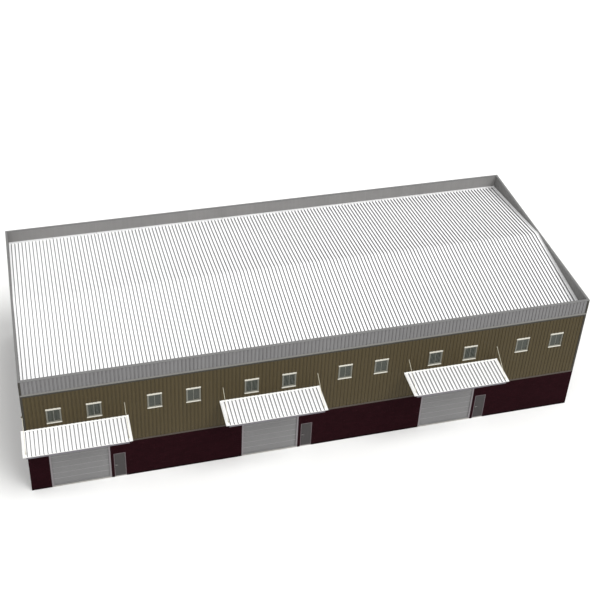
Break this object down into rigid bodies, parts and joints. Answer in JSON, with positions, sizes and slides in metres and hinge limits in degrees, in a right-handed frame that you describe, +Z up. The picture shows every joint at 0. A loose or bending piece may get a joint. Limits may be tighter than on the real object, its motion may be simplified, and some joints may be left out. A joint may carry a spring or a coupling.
{
  "type": "warehouse building",
  "caption": "Long metal-clad warehouse with a parapet round a low gable roof, roller shutters, hinged man doors, small windows and hung canopies on its front.",
  "frame": {"origin": "middle of the footprint at ground level, on the underside of the floor slab", "axes": "+X along the length, to the right of someone who faces the front; the front looks along -Y; +Z up"},
  "size_m": [39.21, 18.39, 9.9],
  "materials": {
    "floor_concrete": "trowelled concrete, matt",
    "wainscot_masonry": "dark maroon painted masonry in fine courses, satin",
    "olive_siding": "olive brown ribbed sheet, satin",
    "grey_parapet_sheet": "mid grey ribbed sheet, satin",
    "white_roof_sheet": "white ribbed sheet, satin",
    "shutter_steel": "grey slats, satin",
    "door_frame_paint": "mauve grey paint, satin",
    "door_leaf_paint": "dark grey paint, satin",
    "window_frame_paint": "grey beige frames with light head and sill",
    "window_glass": "grey tinted glass",
    "window_trim_paint": "light cream paint on the head and sill trims",
    "door_hardware": "satin steel lever handles and hinges",
    "light_flashing": "light grey paint on the folded flashings under the parapet band and at the foot of the siding",
    "dark_trim": "dark grey olive paint on corner trims and closures",
    "coping_sheet": "light grey paint on the copings, satin",
    "inner_liner": "off-white liner sheet on the inner faces of the walls",
    "white_canopy_sheet": "white ribbed sheet, satin",
    "canopy_steel_paint": "grey paint, satin",
    "tie_rod_paint": "cream paint, satin"
  },
  "bodies": {
    "root": {"back_parapet": "grey_parapet_sheet", "back_siding": "olive_siding", "back_wainscot": "wainscot_masonry", "canopy_frame_1": "canopy_steel_paint", "canopy_frame_2": "canopy_steel_paint", "canopy_frame_3": "canopy_steel_paint", "canopy_sheet_1": "white_canopy_sheet", "canopy_sheet_2": "white_canopy_sheet", "canopy_sheet_3": "white_canopy_sheet", "door_frame_1": "door_frame_paint", "door_frame_2": "door_frame_paint", "door_frame_3": "door_frame_paint", "door_surround_1": "wainscot_masonry", "door_surround_2": "wainscot_masonry", "door_surround_3": "wainscot_masonry", "floor_slab": "floor_concrete", "front_parapet": "grey_parapet_sheet", "front_siding": "olive_siding", "front_wainscot_1": "wainscot_masonry", "front_wainscot_2": "wainscot_masonry", "front_wainscot_3": "wainscot_masonry", "front_wainscot_4": "wainscot_masonry", "left_parapet": "grey_parapet_sheet", "left_siding": "olive_siding", "left_wainscot": "wainscot_masonry", "right_parapet": "grey_parapet_sheet", "right_siding": "olive_siding", "right_wainscot": "wainscot_masonry", "roller_door_1": "shutter_steel", "roller_door_2": "shutter_steel", "roller_door_3": "shutter_steel", "roof_back_slope": "white_roof_sheet", "roof_front_slope": "white_roof_sheet", "roof_ridge_cap": "white_roof_sheet", "tie_rod_1_left": "tie_rod_paint", "tie_rod_1_right": "tie_rod_paint", "tie_rod_2_left": "tie_rod_paint", "tie_rod_2_right": "tie_rod_paint", "tie_rod_3_left": "tie_rod_paint", "tie_rod_3_right": "tie_rod_paint", "window_01": "window_frame_paint", "window_02": "window_frame_paint", "window_03": "window_frame_paint", "window_04": "window_frame_paint", "window_05": "window_frame_paint", "window_06": "window_frame_paint", "window_07": "window_frame_paint", "window_08": "window_frame_paint", "window_09": "window_frame_paint", "window_10": "window_frame_paint", "window_11": "window_frame_paint", "window_12": "window_frame_paint"},
    "man_door_1": {"man_door_1": "door_leaf_paint"},
    "man_door_2": {"man_door_2": "door_leaf_paint"},
    "man_door_3": {"man_door_3": "door_leaf_paint"}
  },
  "joints": [
    {"name": "man_door_1_hinge", "type": "hinge", "parent": "root", "child": "man_door_1", "pos_m": [-13.1983, -8.131, 0.126], "axis": [0, 0, 1], "range_deg": [0, 110]},
    {"name": "man_door_2_hinge", "type": "hinge", "parent": "root", "child": "man_door_2", "pos_m": [-0.1983, -8.131, 0.126], "axis": [0, 0, 1], "range_deg": [0, 110]},
    {"name": "man_door_3_hinge", "type": "hinge", "parent": "root", "child": "man_door_3", "pos_m": [12.8017, -8.131, 0.126], "axis": [0, 0, 1], "range_deg": [0, 110]}
  ]
}
